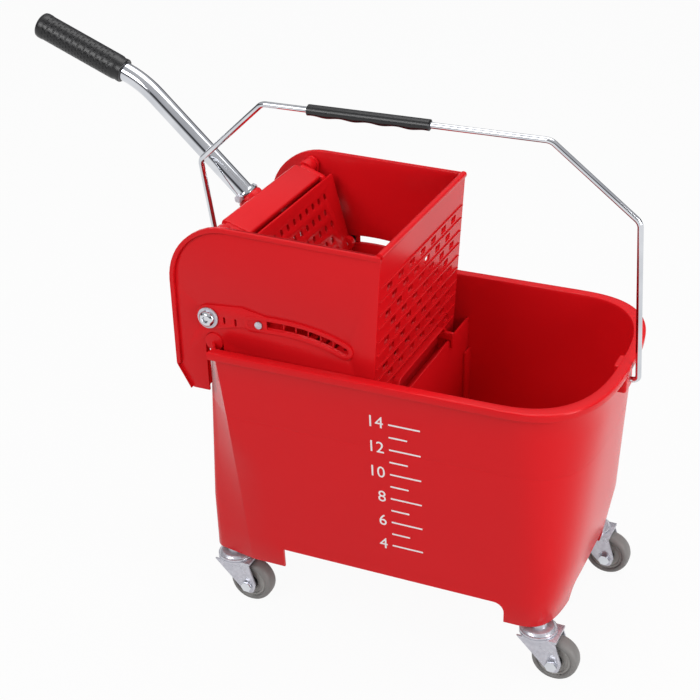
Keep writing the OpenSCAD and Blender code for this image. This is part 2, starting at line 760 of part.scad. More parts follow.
castor(3) castor_tyre();  // castor3_tyre
castor(4) castor_stem();  // castor4_stem
castor(4) castor_race();  // castor4_race
castor(4) castor_fork();  // castor4_fork
castor(4) castor_axle();  // castor4_axle
castor(4) castor_nut();  // castor4_nut
castor(4) castor_hub();  // castor4_hub
castor(4) castor_tyre();  // castor4_tyre
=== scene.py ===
from math import atan2, ceil, cos, pi, radians, sin, tan

import bpy
from mathutils import Matrix, Vector


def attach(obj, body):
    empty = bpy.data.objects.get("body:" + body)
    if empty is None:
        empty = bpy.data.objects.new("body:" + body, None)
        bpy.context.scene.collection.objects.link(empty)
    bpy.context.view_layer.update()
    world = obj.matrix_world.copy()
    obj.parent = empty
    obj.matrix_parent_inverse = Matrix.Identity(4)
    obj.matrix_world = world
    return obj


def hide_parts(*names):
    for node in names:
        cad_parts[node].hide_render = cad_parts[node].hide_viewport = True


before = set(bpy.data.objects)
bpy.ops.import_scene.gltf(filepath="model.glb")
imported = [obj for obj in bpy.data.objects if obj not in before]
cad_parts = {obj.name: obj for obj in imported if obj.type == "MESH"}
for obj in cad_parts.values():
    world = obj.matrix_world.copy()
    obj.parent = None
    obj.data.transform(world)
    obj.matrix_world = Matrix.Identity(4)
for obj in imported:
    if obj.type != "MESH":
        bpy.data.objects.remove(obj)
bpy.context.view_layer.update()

# Sizes are in millimetres and become metres as each mesh is made.
MM = 0.001
RIM_X = 224
RIM_H = 330
LEG_Z = 66
HEEL_Z = 132
FLOOR_Z = 97
WALL = 3
FLOOR_TOP = FLOOR_Z + WALL
LIP_OUT = 9
LIP_Z = RIM_H - 9
PLATE_Y = 115
PLATE_T = 3
PARTITION_X = 4
WRINGER_H = 461
FRONT_TOP_Z = 456
DRAIN_Z = 262
PIVOT = Vector((-189, 358))
PIVOT_HOLE = 5.05
HINGE = Vector((-177, 445))
GUIDE = Vector((-131, 360))
SWING = radians(46)
LEVER_A = radians(136.5)
LEVER_OUT = Vector((-197, 444))
LEVER_RUN = 164
LEVER_BEND = radians(21)
UPPER_RUN = 132
BAIL_X = 230
BAIL_Z = 310
BAIL_TOP = 266
BAIL_LEAN = radians(12)


# ---- Modelling helpers -------------------------------------------------------------
def pick(obj):
    """Selects obj alone and makes it the active object."""
    bpy.ops.object.select_all(action="DESELECT")
    obj.select_set(True)
    bpy.context.view_layer.objects.active = obj


def join(name, objs):
    """Makes one piece of several."""
    pick(objs[0])
    for obj in objs[1:]:
        obj.select_set(True)
    if len(objs) > 1:
        bpy.ops.object.join()
    piece = bpy.context.object
    piece.name = name
    return piece


def place(obj, matrix):
    """Puts obj's place, turn and size into its mesh."""
    obj.matrix_world = matrix
    pick(obj)
    bpy.ops.object.transform_apply(location=True, rotation=True, scale=True)
    return obj


def tidy_mesh(obj, outwards=True):
    """Merges doubles and points the faces outwards."""
    pick(obj)
    bpy.ops.object.mode_set(mode="EDIT")
    bpy.ops.mesh.select_all(action="SELECT")
    bpy.ops.mesh.remove_doubles(threshold=2e-6)
    if outwards:
        bpy.ops.mesh.normals_make_consistent(inside=False)
    bpy.ops.object.mode_set(mode="OBJECT")
    return obj


def smooth(obj, angle=32):
    """Shades smoothly across edges blunter than the angle, in degrees."""
    pick(obj)
    bpy.ops.object.shade_smooth_by_angle(angle=radians(angle))
    return obj


def ease_edges(obj, width, angle=40, segments=2):
    """Rounds the sharp edges of a piece by a small bevel, in millimetres."""
    pick(obj)
    bevel = obj.modifiers.new("Eased edges", "BEVEL")
    bevel.width = width * MM
    bevel.segments = segments
    bevel.limit_method = "ANGLE"
    bevel.angle_limit = radians(angle)
    bevel.use_clamp_overlap = True
    bpy.ops.object.modifier_apply(modifier=bevel.name)
    return obj


def cut(obj, tool):
    """Takes the solid tool away from obj."""
    pick(obj)
    carve = obj.modifiers.new("Cut", "BOOLEAN")
    carve.operation = "DIFFERENCE"
    carve.solver = "EXACT"
    carve.object = tool
    bpy.ops.object.modifier_apply(modifier=carve.name)
    bpy.data.objects.remove(tool, do_unlink=True)
    return obj


def turned(v, a):
    """The flat vector v, turned by the angle a."""
    return Vector((v.x * cos(a) - v.y * sin(a), v.x * sin(a) + v.y * cos(a)))


def corner(a, b, c, r, steps):
    """Points of an arc of radius r that rounds the corner b between a and c."""
    u, v = (a - b).normalized(), (c - b).normalized()
    half = u.angle(v) / 2
    centre = b + (u + v).normalized() * (r / sin(half))
    start, end = b + u * (r / tan(half)) - centre, b + v * (r / tan(half)) - centre
    sweep = atan2(start.x * end.y - start.y * end.x, start.dot(end))
    return [centre + turned(start, sweep * i / steps) for i in range(steps + 1)]


def rounded(points, radii, steps=6):
    """A closed outline with each corner rounded to its radius; 0 keeps it sharp."""
    pts = [Vector(p) for p in points]
    n = len(pts)
    out = []
    for i, r in enumerate(radii):
        if r:
            out += corner(pts[i - 1], pts[i], pts[(i + 1) % n], r, steps)
        else:
            out.append(pts[i])
    return out


def circle(centre, r, steps=28):
    return [Vector(centre) + Vector((r * cos(2 * pi * i / steps), r * sin(2 * pi * i / steps)))
            for i in range(steps)]


def arc(centre, r, start, sweep, steps):
    """Points of an arc, both its ends included."""
    angles = [start + sweep * i / steps for i in range(steps + 1)]
    return [Vector(centre) + Vector((r * cos(a), r * sin(a))) for a in angles]


def slot_hole(centre, w, h, steps=5):
    """A rounded slot w wide and h high."""
    x, y = w / 2, h / 2
    r = min(x, y) * 0.98
    box = [(-x, -y), (x, -y), (x, y), (-x, y)]
    return [Vector(centre) + p for p in rounded(box, [r] * 4, steps)]


def rectangle(x0, y0, x1, y1, r=0.0, steps=4):
    return rounded([(x0, y0), (x1, y0), (x1, y1), (x0, y1)], [r] * 4, steps)


def area_of(points):
    """Positive for an outline that runs anticlockwise."""
    return sum(p.x * q.y - q.x * p.y for p, q in zip(points, points[1:] + points[:1])) / 2


# These stand a flat drawing up, in the X-Z plane and in the Y-Z plane.
XZ = Matrix(((1, 0, 0, 0), (0, 0, -1, 0), (0, 1, 0, 0), (0, 0, 0, 1)))
YZ = Matrix(((0, 0, 1, 0), (1, 0, 0, 0), (0, 1, 0, 0), (0, 0, 0, 1)))


def plate(name, outline, holes=(), thick=3.0, edge=0.6, matrix=None, steps=1):
    """A flat plate cut to an outline, with holes, and with its edges rounded."""
    curve = bpy.data.curves.new(name, "CURVE")
    curve.dimensions = "2D"
    curve.fill_mode = "BOTH"
    curve.extrude = (thick / 2 - edge) * MM
    curve.bevel_depth = edge * MM
    curve.bevel_resolution = steps
    curve.offset = -edge * MM
    for k, pts in enumerate([outline, *holes]):
        if (area_of(pts) > 0) == (k > 0):
            pts = pts[::-1]
        spline = curve.splines.new("POLY")
        spline.points.add(len(pts) - 1)
        for point, p in zip(spline.points, pts):
            point.co = (p.x * MM, p.y * MM, 0, 1)
        spline.use_cyclic_u = True
    obj = bpy.data.objects.new(name, curve)
    bpy.context.collection.objects.link(obj)
    pick(obj)
    bpy.ops.object.convert(target="MESH")
    obj = bpy.context.object
    place(obj, matrix or Matrix.Identity(4))
    tidy_mesh(obj)
    return smooth(obj)


def upright(name, outline, y0, y1, holes=(), edge=0.6, steps=1):
    """A plate drawn in the X-Z plane, from y0 to y1."""
    return plate(name, outline, holes, abs(y1 - y0), edge,
                 Matrix.Translation((0, (y0 + y1) / 2 * MM, 0)) @ XZ, steps)


def level(name, outline, z0, z1, holes=(), edge=0.6, steps=1):
    """A plate drawn in the X-Y plane, from z0 to z1."""
    return plate(name, outline, holes, z1 - z0, edge,
                 Matrix.Translation((0, 0, (z0 + z1) / 2 * MM)), steps)


def wrapped(name, rings, closed_ends=True):
    """A grid wrapped round rings of points, row by row, with its seam and ends closed."""
    rows, cols = len(rings), len(rings[0])
    bpy.ops.object.select_all(action="DESELECT")
    bpy.ops.mesh.primitive_grid_add(x_subdivisions=cols, y_subdivisions=rows - 1, size=1)
    obj = bpy.context.object
    obj.name = name
    for j, ring in enumerate(rings):
        for i in range(cols + 1):
            obj.data.vertices[j * (cols + 1) + i].co = Vector(ring[i % cols]) * MM
    bpy.ops.object.mode_set(mode="EDIT")
    bpy.ops.mesh.select_all(action="SELECT")
    bpy.ops.mesh.remove_doubles(threshold=2e-6)
    if closed_ends:
        bpy.ops.mesh.select_mode(type="VERT")
        bpy.ops.mesh.select_all(action="DESELECT")
        bpy.ops.mesh.select_non_manifold()
        bpy.ops.mesh.fill_holes(sides=0)
    bpy.ops.mesh.select_all(action="SELECT")
    bpy.ops.mesh.normals_make_consistent(inside=False)
    bpy.ops.object.mode_set(mode="OBJECT")
    return obj


def hoop(r, z, steps):
    """Points of a level circle round the Z axis."""
    return [(r * cos(2 * pi * i / steps), r * sin(2 * pi * i / steps), z) for i in range(steps)]


def lathe(name, profile, matrix, steps=40, angle=32):
    """A turned piece: the profile (radius, height) is spun round the Z axis."""
    obj = wrapped(name, [hoop(r, z, steps) for r, z in profile])
    place(obj, matrix)
    return smooth(obj, angle)


def tube_ring(centre, along, side, r, steps):
    other = along.cross(side)
    return [centre + side * (r * cos(2 * pi * i / steps)) + other * (r * sin(2 * pi * i / steps))
            for i in range(steps)]


def bent_rod(name, points, bends, d, steps=20, end_ease=0.5):
    """A round bar along points in one plane, with a bend radius at each inner point."""
    pts = [Vector(p) for p in points]
    path = [pts[0]]
    for i, r in enumerate(bends, 1):
        u, v = (pts[i - 1] - pts[i]).normalized(), (pts[i + 1] - pts[i]).normalized()
        half = u.angle(v) / 2
        centre = pts[i] + (u + v).normalized() * (r / sin(half))
        start = pts[i] + u * (r / tan(half))
        axis = (start - centre).cross(pts[i] + v * (r / tan(half)) - centre).normalized()
        sweep = pi - 2 * half
        count = max(6, ceil(sweep / radians(5)))
        path += [centre + Matrix.Rotation(sweep * k / count, 3, axis) @ (start - centre)
                 for k in range(count + 1)]
    path.append(pts[-1])
    normal = (pts[1] - pts[0]).cross(pts[2] - pts[1]).normalized()
    rings = []
    for i, p in enumerate(path):
        a, b = path[max(i - 1, 0)], path[min(i + 1, len(path) - 1)]
        along = (b - a).normalized()
        if i == 0:
            rings.append(tube_ring(p, along, normal, d / 2 - end_ease, steps))
            p = p + along * end_ease
        if i == len(path) - 1:
            rings.append(tube_ring(p - along * end_ease, along, normal, d / 2, steps))
            rings.append(tube_ring(p, along, normal, d / 2 - end_ease, steps))
        else:
            rings.append(tube_ring(p, along, normal, d / 2, steps))
    return smooth(wrapped(name, rings), 40)


def copy_of(node, name, width=0.4, angle=40):
    """A copy of a CAD solid with its triangles merged, its flats whole and its edges eased."""
    obj = bpy.data.objects.new(name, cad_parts[node].data.copy())
    bpy.context.collection.objects.link(obj)
    obj.data.materials.clear()
    pick(obj)
    if obj.data.has_custom_normals:
        bpy.ops.mesh.customdata_custom_splitnormals_clear()
    bpy.ops.object.mode_set(mode="EDIT")
    bpy.ops.mesh.select_all(action="SELECT")
    bpy.ops.mesh.remove_doubles(threshold=5e-6)
    bpy.ops.mesh.dissolve_limited(angle_limit=radians(0.6))
    bpy.ops.object.mode_set(mode="OBJECT")
    if width:
        ease_edges(obj, width, angle)
    return smooth(obj)


def own(obj, body, slot, material, *nodes):
    """Gives a finished piece its material and its body, and hides the CAD nodes it stands for;
    slot is not used.
    """
    obj.data.materials.clear()
    obj.data.materials.append(material)
    for face in obj.data.polygons:
        face.material_index = 0
    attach(obj, body)
    if nodes:
        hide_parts(*nodes)
    return obj


# ---- Finishes ----------------------------------------------------------------------
def srgb(r, g, b):
    """A colour as the shader wants it."""
    def linear(c):
        c /= 255
        return c / 12.92 if c <= 0.04045 else ((c + 0.055) / 1.055) ** 2.4
    return (linear(r), linear(g), linear(b), 1.0)


def group(name, inputs, outputs):
    tree = bpy.data.node_groups.new(name, "ShaderNodeTree")
    for label, kind, value in inputs:
        socket = tree.interface.new_socket(name=label, in_out="INPUT", socket_type=kind)
        socket.default_value = value
    for label, kind in outputs:
        tree.interface.new_socket(name=label, in_out="OUTPUT", socket_type=kind)
    return tree, tree.nodes.new("NodeGroupInput"), tree.nodes.new("NodeGroupOutput")


def moulded_skin():
    """The skin of a moulding: slow drifts of colour and gloss, fine scuffs, and a soft grain."""
    tree, given, out = group("Moulded skin", [
        ("Colour", "NodeSocketColor", (0.8, 0.8, 0.8, 1)),
        ("Scuffed colour", "NodeSocketColor", (0.9, 0.9, 0.9, 1)),
        ("Gloss", "NodeSocketFloat", 0.35),
        ("Scuff amount", "NodeSocketFloat", 0.2),
        ("Grain size", "NodeSocketFloat", 900.0)],
        [("Colour", "NodeSocketColor"), ("Roughness", "NodeSocketFloat"),
         ("Height", "NodeSocketFloat")])
    new, link = tree.nodes.new, tree.links.new
    coords = new("ShaderNodeTexCoord")
    drift = new("ShaderNodeTexNoise")
    drift.inputs["Scale"].default_value = 9
    drift.inputs["Detail"].default_value = 3
    link(coords.outputs["Object"], drift.inputs["Vector"])
    stretch = new("ShaderNodeMapping")
    stretch.inputs["Rotation"].default_value = (0.4, 0.7, 0.2)
    stretch.inputs["Scale"].default_value = (30, 400, 60)
    link(coords.outputs["Object"], stretch.inputs["Vector"])
    scuffs = new("ShaderNodeTexNoise")
    scuffs.inputs["Scale"].default_value = 1
    scuffs.inputs["Detail"].default_value = 4
    link(stretch.outputs["Vector"], scuffs.inputs["Vector"])
    thin = new("ShaderNodeMapRange")
    thin.inputs["From Min"].default_value = 0.5
    thin.inputs["From Max"].default_value = 0.95
    link(scuffs.outputs["Fac"], thin.inputs["Value"])
    share = new("ShaderNodeMath")
    share.operation = "MULTIPLY"
    link(thin.outputs["Result"], share.inputs[0])
    link(given.outputs["Scuff amount"], share.inputs[1])
    tint = new("ShaderNodeHueSaturation")
    shade = new("ShaderNodeMapRange")
    shade.inputs["To Min"].default_value = 0.97
    shade.inputs["To Max"].default_value = 1.03
    link(drift.outputs["Fac"], shade.inputs["Value"])
    link(shade.outputs["Result"], tint.inputs["Value"])
    link(given.outputs["Colour"], tint.inputs["Color"])
    mix = new("ShaderNodeMix")
    mix.data_type = "RGBA"
    link(share.outputs["Value"], mix.inputs["Factor"])
    link(tint.outputs["Color"], mix.inputs["A"])
    link(given.outputs["Scuffed colour"], mix.inputs["B"])
    link(mix.outputs["Result"], out.inputs["Colour"])
    rough = new("ShaderNodeMapRange")
    rough.inputs["To Min"].default_value = -0.02
    rough.inputs["To Max"].default_value = 0.02
    link(drift.outputs["Fac"], rough.inputs["Value"])
    add = new("ShaderNodeMath")
    link(rough.outputs["Result"], add.inputs[0])
    link(given.outputs["Gloss"], add.inputs[1])
    more = new("ShaderNodeMath")
    more.operation = "MULTIPLY_ADD"
    more.inputs[1].default_value = 0.25
    link(share.outputs["Value"], more.inputs[0])
    link(add.outputs["Value"], more.inputs[2])
    link(more.outputs["Value"], out.inputs["Roughness"])
    grain = new("ShaderNodeTexNoise")
    grain.inputs["Detail"].default_value = 2
    link(given.outputs["Grain size"], grain.inputs["Scale"])
    link(coords.outputs["Object"], grain.inputs["Vector"])
    link(grain.outputs["Fac"], out.inputs["Height"])
    return tree


SKIN = moulded_skin()


def bare_metal():
    """Bright metal: faint polishing marks, smears in the gloss and a few dull specks."""
    tree, given, out = group("Bare metal", [
        ("Colour", "NodeSocketColor", (0.8, 0.8, 0.8, 1)),
        ("Dull colour", "NodeSocketColor", (0.5, 0.5, 0.5, 1)),
        ("Gloss", "NodeSocketFloat", 0.1),
        ("Smear", "NodeSocketFloat", 0.08),
        ("Patch size", "NodeSocketFloat", 60.0)],
        [("Colour", "NodeSocketColor"), ("Roughness", "NodeSocketFloat"),
         ("Height", "NodeSocketFloat")])
    new, link = tree.nodes.new, tree.links.new
    coords = new("ShaderNodeTexCoord")
    patches = new("ShaderNodeTexVoronoi")
    link(given.outputs["Patch size"], patches.inputs["Scale"])
    link(coords.outputs["Object"], patches.inputs["Vector"])
    smear = new("ShaderNodeTexNoise")
    smear.inputs["Scale"].default_value = 45
    smear.inputs["Detail"].default_value = 5
    link(coords.outputs["Object"], smear.inputs["Vector"])
    mix = new("ShaderNodeMix")
    mix.data_type = "RGBA"
    link(patches.outputs["Distance"], mix.inputs["Factor"])
    link(given.outputs["Colour"], mix.inputs["A"])
    link(given.outputs["Dull colour"], mix.inputs["B"])
    link(mix.outputs["Result"], out.inputs["Colour"])
    rough = new("ShaderNodeMath")
    rough.operation = "MULTIPLY_ADD"
    link(smear.outputs["Fac"], rough.inputs[0])
    link(given.outputs["Smear"], rough.inputs[1])
    link(given.outputs["Gloss"], rough.inputs[2])
    link(rough.outputs["Value"], out.inputs["Roughness"])
    marks = new("ShaderNodeTexNoise")
    marks.inputs["Scale"].default_value = 1400
    link(coords.outputs["Object"], marks.inputs["Vector"])
    link(marks.outputs["Fac"], out.inputs["Height"])
    return tree


METAL = bare_metal()


def finish_of(name, tree, values, bump, distance=0.0002, **sockets):
    """A material: one of the groups above feeds a Principled shader."""
    mat = bpy.data.materials.new(name)
    mat.use_nodes = True
    nodes, link = mat.node_tree.nodes, mat.node_tree.links.new
    shader = nodes["Principled BSDF"]
    skin = nodes.new("ShaderNodeGroup")
    skin.node_tree = tree
    for label, value in values.items():
        skin.inputs[label].default_value = value
    relief = nodes.new("ShaderNodeBump")
    relief.inputs["Strength"].default_value = bump
    relief.inputs["Distance"].default_value = distance
    link(skin.outputs["Colour"], shader.inputs["Base Color"])
    link(skin.outputs["Roughness"], shader.inputs["Roughness"])
    link(skin.outputs["Height"], relief.inputs["Height"])
    link(relief.outputs["Normal"], shader.inputs["Normal"])
    for label, value in sockets.items():
        shader.inputs[label.replace("_", " ")].default_value = value
    return mat


RED = finish_of("Red moulded shell", SKIN, {
    "Colour": srgb(212, 20, 27), "Scuffed colour": srgb(222, 42, 48), "Gloss": 0.25,
    "Scuff amount": 0.05, "Grain size": 700.0}, 0.08, 0.0001, Specular_IOR_Level=0.17)
RUBBER = finish_of("Black grip rubber", SKIN, {
    "Colour": srgb(16, 16, 18), "Scuffed colour": srgb(34, 34, 37), "Gloss": 0.34,
    "Scuff amount": 0.3, "Grain size": 1600.0}, 0.3, 0.0002)
FINGERS = finish_of("Black bail grip plastic", SKIN, {
    "Colour": srgb(16, 16, 18), "Scuffed colour": srgb(40, 40, 44), "Gloss": 0.32,
    "Scuff amount": 0.2, "Grain size": 1200.0}, 0.2, 0.0002)
# The tyre's grey is set below its lit grey so that it carries part of the shade on its lower side:
# partly its own colour, partly painted shade.
TYRE_GREY_AND_SHADE = finish_of("Grey tyre rubber and painted shade", SKIN, {
    "Colour": srgb(124, 122, 120), "Scuffed colour": srgb(104, 102, 99), "Gloss": 0.5,
    "Scuff amount": 0.3, "Grain size": 1300.0}, 0.25, 0.0002)
HUB = finish_of("Pale wheel hub", SKIN, {
    "Colour": srgb(160, 158, 154), "Scuffed colour": srgb(178, 176, 172), "Gloss": 0.42,
    "Scuff amount": 0.25, "Grain size": 1100.0}, 0.15, 0.0002)
INK = finish_of("White scale ink", SKIN, {
    "Colour": srgb(236, 232, 232), "Scuffed colour": srgb(226, 196, 198), "Gloss": 0.45,
    "Scuff amount": 0.4, "Grain size": 900.0}, 0.1, 0.0001)
CHROME = finish_of("Chromed steel", METAL, {
    "Colour": srgb(222, 224, 228), "Dull colour": srgb(196, 199, 205), "Gloss": 0.05,
    "Smear": 0.03, "Patch size": 40.0}, 0.005, 0.0001, Metallic=1.0)
ZINC = finish_of("Zinc-plated steel", METAL, {
    "Colour": srgb(206, 206, 214), "Dull colour": srgb(184, 184, 193), "Gloss": 0.22,
    "Smear": 0.12, "Patch size": 240.0}, 0.08, 0.0001, Metallic=0.55)


# ---- Bucket --------------------------------------------------------------------------
# A level: height, half width, crease x, shoulder x, shoulder y, wringer-end x, nose x,
# nose length, nose exponent.
WALL_TOP_W = 131
BASE_HALF = 118
HEEL_W = BASE_HALF + (WALL_TOP_W - BASE_HALF) * (HEEL_Z - LEG_Z) / (RIM_H - LEG_Z)
LEVELS = [
    (LEG_Z, BASE_HALF, 70 - RIM_X, 20 - RIM_X, BASE_HALF - 9, 9 - RIM_X, RIM_X - 36, 52, 4.0),
    (HEEL_Z, HEEL_W, 65 - RIM_X, 19.5 - RIM_X, HEEL_W - 13, 7 - RIM_X, RIM_X - 24, 56, 3.6),
    (RIM_H, WALL_TOP_W, 46 - RIM_X, 19 - RIM_X, WALL_TOP_W - 43, 6.5 - RIM_X,
     RIM_X - LIP_OUT, 95, 2.8)]
NOSE_STEPS = 22
SIDE_STEPS = 10
END_FLAT = 60


def between(a, b, steps):
    return [a.lerp(b, i / steps) for i in range(1, steps)]


def half_plan(lvl, inset):
    """The bucket's outline at a level, from the tip of the nose round +Y to the end wall."""
    _, width, crease_x, shoulder_x, shoulder_y, end_x, nose_x, length, power = lvl
    w, p = width - inset, 2 / power
    run = length - inset / 2
    x0 = nose_x - length - inset / 2
    nose = [Vector((x0 + run * cos(a) ** p, w * sin(a) ** p))
            for a in (pi / 2 * i / NOSE_STEPS for i in range(NOSE_STEPS))]
    nose.append(Vector((x0, w)))
    crease = Vector((crease_x + inset * 0.4, w))
    shoulder = Vector((shoulder_x + inset * 0.9, shoulder_y - inset * 0.6))
    flat = Vector((end_x + inset, END_FLAT))
    bend = corner(crease, shoulder, flat, 11, 4)
    after = bend[-1].lerp(flat, 0.15)
    out = nose + between(nose[-1], crease, SIDE_STEPS) + [crease]
    start = len(out)
    out += [crease.lerp(bend[0], 0.07)] + between(crease, bend[0], 5) + bend
    end = len(out)
    out += [after] + between(after, flat, 2) + [flat]
    return out, range(start, end)


def plan_at(z, inset, lip=0.0):
    """The closed outline at height z, drawn in by inset or out by lip where the rim has one."""
    low, high = (LEVELS[0], LEVELS[1]) if z < HEEL_Z else (LEVELS[1], LEVELS[2])
    t = min((z - low[0]) / (high[0] - low[0]), 1)
    a, bare = half_plan(low, inset)
    b, _ = half_plan(high, inset)
    half = [p.lerp(q, t) for p, q in zip(a, b)]
    if lip:
        a, _ = half_plan(low, inset - lip)
        b, _ = half_plan(high, inset - lip)
        out = [p.lerp(q, t) for p, q in zip(a, b)]
        half = [h if i in bare else o for i, (h, o) in enumerate(zip(half, out))]
    ring = half + [Vector((p.x, -p.y)) for p in half[:0:-1]]
    return [(p.x, p.y, z) for p in ring]


# (height, inset, lip): from the floor inside, over the rim and down to the skirt.
BUCKET_SECTION = [
    # The floor's upper face and the rounded corner round it.
    (FLOOR_TOP, 30, 0), (FLOOR_TOP, 9, 0), (FLOOR_TOP + 0.4, 6.2, 0),
    (FLOOR_TOP + 1.8, 4.2, 0), (FLOOR_TOP + 4, 3.2, 0), (FLOOR_TOP + 8, WALL, 0),
    # The inside, up to the rounded inner edge of the rim.
    (160, WALL, 0), (220, WALL, 0), (280, WALL, 0), (RIM_H - 4, WALL, 0),
    (RIM_H - 1.2, 2.9, 0), (RIM_H - 0.3, 2.5, 0), (RIM_H, 1.8, 0),
    # The lip: its top, its rounded edge and its underside.
    (RIM_H, 0, 6.4), (RIM_H - 0.2, 0, 7.6), (RIM_H - 0.8, 0, 8.5), (RIM_H - 1.8, 0, LIP_OUT),
    (LIP_Z + 2, 0, LIP_OUT), (LIP_Z + 0.6, 0, 8.7), (LIP_Z, 0, 8), (LIP_Z, 0, 1.4),
    (LIP_Z - 0.6, 0, 0.4), (LIP_Z - 2, 0, 0),
    # The outside, with one fine groove, down to the skirt.
    (290, 0, 0), (252, 0, 0), (250.8, 0, 0), (250.1, 0.14, 0), (249.4, 0, 0), (248, 0, 0),
    (200, 0, 0), (160, 0, 0), (HEEL_Z, 0, 0), (100, 0, 0),
    # The skirt's rounded lower edge, its inside and the floor's underside.
    (LEG_Z + 1.4, 0, 0), (LEG_Z + 0.4, 0.4, 0), (LEG_Z, 1.2, 0), (LEG_Z, 1.9, 0),
    (LEG_Z + 0.5, 2.7, 0), (LEG_Z + 1.5, WALL, 0), (FLOOR_Z - 1, WALL, 0),
    (FLOOR_Z, 3.6, 0), (FLOOR_Z, 30, 0)]


def bucket_shell():
    """The bucket's walls, lip and floor, with an arch cut between each pair of legs."""
    shell = wrapped("bucket_shell", [plan_at(*row) for row in BUCKET_SECTION])
    back, front = -116, 136
    sides = rounded([(back, 50), (front - 1, 50), (front, 90), (back, 90)], [0, 0, 11, 0.8])
    shell = cut(shell, upright("side_arch", sides, -170, 170, edge=0.01, steps=0))
    ends = rounded([(-60, 50), (60, 50), (56, 88), (-56, 88)], [0, 0, 12, 12])
    shell = cut(shell, plate("end_arch", ends, (), 520, 0.01, YZ, 0))
    tidy_mesh(shell)
    return smooth(shell, 28)


STUD_X = -185.2


def bucket_fittings():
    """The locating studs, bail lugs, stem bosses and partition guides."""
    parts = []
    for s in (-1, 1):
        across = Matrix.Translation((STUD_X * MM, s * 107.5 * MM, RIM_H * MM))
        parts.append(lathe("stud", [(0.01, 0), (9, 0), (9.8, 0.2), (10, 0.8), (10, 8.2),
                                    (9.8, 8.8), (9, 9), (0.01, 9)],
                           across @ Matrix.Rotation(radians(-90 * s), 4, "X")))
        lug = level("lug", rectangle(207, -12, 221, 12, 2.5), 299, 329, edge=1.5, steps=2)
        if s < 0:
            place(lug, Matrix.Rotation(pi, 4, "Z"))
        parts.append(lug)
        for side in (-1, 1):
            x = PARTITION_X + side * 3.3
            rib = [(s * 107, 97.5), (s * 118.5, 97.5), (s * 125.7, 243), (s * 107, 243)]
            facing = Matrix.Translation((x * MM, 0, 0)) @ YZ
            parts.append(plate("guide", rounded(rib, [0.4] * 4, 2), (), 3, 0.5, facing))
        for sx in (-1, 1):
            boss = [(8.5, 66), (8.5, 97.5), (5.6, 97.5), (5.6, 66)]
            ring = wrapped("boss", [hoop(r, z, 28) for r, z in boss + boss[:1]], False)
            place(ring, Matrix.Translation(((-9 + sx * 177) * MM, s * 100 * MM, 0)))
            tidy_mesh(ring)
            parts.append(smooth(ring))
    return join("bucket_fittings", parts)


own(bucket_shell(), "bucket", "shell", RED, "bucket")
own(bucket_fittings(), "bucket", "shell", RED)


def level_scale():
    """A plain litre scale printed on the near side: a tick each litre, a number each second."""
    slope = (WALL_TOP_W - HEEL_W) / (RIM_H - HEEL_Z)
    spacing = 15
    first_litre = 4
    marks = []

    def on_wall(x, z):
        y = -(HEEL_W + slope * (z - HEEL_Z)) - 0.06
        lean = Matrix.Rotation(atan2(slope, 1), 4, "X")
        return Matrix.Translation((x * MM, y * MM, z * MM)) @ lean @ XZ

    for k in range(11):
        z = HEEL_Z + k * spacing
        long = 34 if k % 2 == 0 else 20
        tick = rectangle(0, -0.9, long, 0.9, 0.5, 2)
        marks.append(plate("tick", tick, (), 0.12, 0.02, on_wall(14, z), 0))
        if k % 2 == 0:
            text = bpy.data.curves.new("number", "FONT")
            text.body = str(first_litre + k)
            text.size = 19 * MM
            text.align_x = "RIGHT"
            text.align_y = "CENTER"
            text.extrude = 0.06 * MM
            text.resolution_u = 4
            obj = bpy.data.objects.new("number", text)
            bpy.context.collection.objects.link(obj)
            pick(obj)
            bpy.ops.object.convert(target="MESH")
            marks.append(place(bpy.context.object, on_wall(9, z)))
    return tidy_mesh(join("level_scale", marks))


own(level_scale(), "bucket", "shell", INK)
own(copy_of("partition", "partition_panel", 0.8), "bucket", "shell", RED, "partition")


# ---- Wringer ---------------------------------------------------------------------------
def hinge_at(t):
    """Where the press frame's hinge is, once the lever has swung by t."""
    return PIVOT + turned(HINGE - PIVOT, -t)


def guide_at(t):
    """Where the guide pin is then: the press plate turns half as far, the other way."""
    return hinge_at(t) + turned(GUIDE - HINGE, t / 2)


SLOT_PATH = [guide_at(SWING * i / 12) for i in range(-1, 14)]


def band(path, h):
    """A band of half height h along a path, with round ends."""
    n = len(path)
    normals = [turned((path[min(i + 1, n - 1)] - path[max(i - 1, 0)]).normalized(), pi / 2)
               for i in range(n)]
    upper = [p + m * h for p, m in zip(path, normals)]
    lower = [p - m * h for p, m in zip(path, normals)]
    tip = [path[-1] + turned(normals[-1], -pi * i / 8) * h for i in range(1, 8)]
    tail = [path[0] - turned(normals[0], -pi * i / 8) * h for i in range(1, 8)]
    return upper + tip + lower[::-1] + tail


WALL_LEAN = 0.068


def front_at(z):
    """X of the slotted wall's outer face, which draws in towards its foot."""
    return 3 - WALL_LEAN * (WRINGER_H - 4 - z)


BACK_X = -231
BACK_LOW = (BACK_X, 297)
FOOT = (-216, 270)
TOP_BACK = 66
NOTCH_R = 10.3


def side_outline():
    """A side plate: round at the top back corner, notched over the bucket's stud."""
    low = FOOT[1]
    notch = arc((STUD_X, RIM_H), NOTCH_R, 0, pi, 12)
    notch = [(STUD_X + NOTCH_R, low)] + [tuple(p) for p in notch] + [(STUD_X - NOTCH_R, low)]
    pts = [(BACK_X, WRINGER_H), (front_at(FRONT_TOP_Z), FRONT_TOP_Z), (front_at(DRAIN_Z), DRAIN_Z),
           (STUD_X + 20, DRAIN_Z), (STUD_X + 14, low)] + notch + [FOOT, BACK_LOW]
    radii = [TOP_BACK, 6, 3, 2, 2] + [0] * len(notch) + [5, 6]
    return rounded(pts, radii, 10)


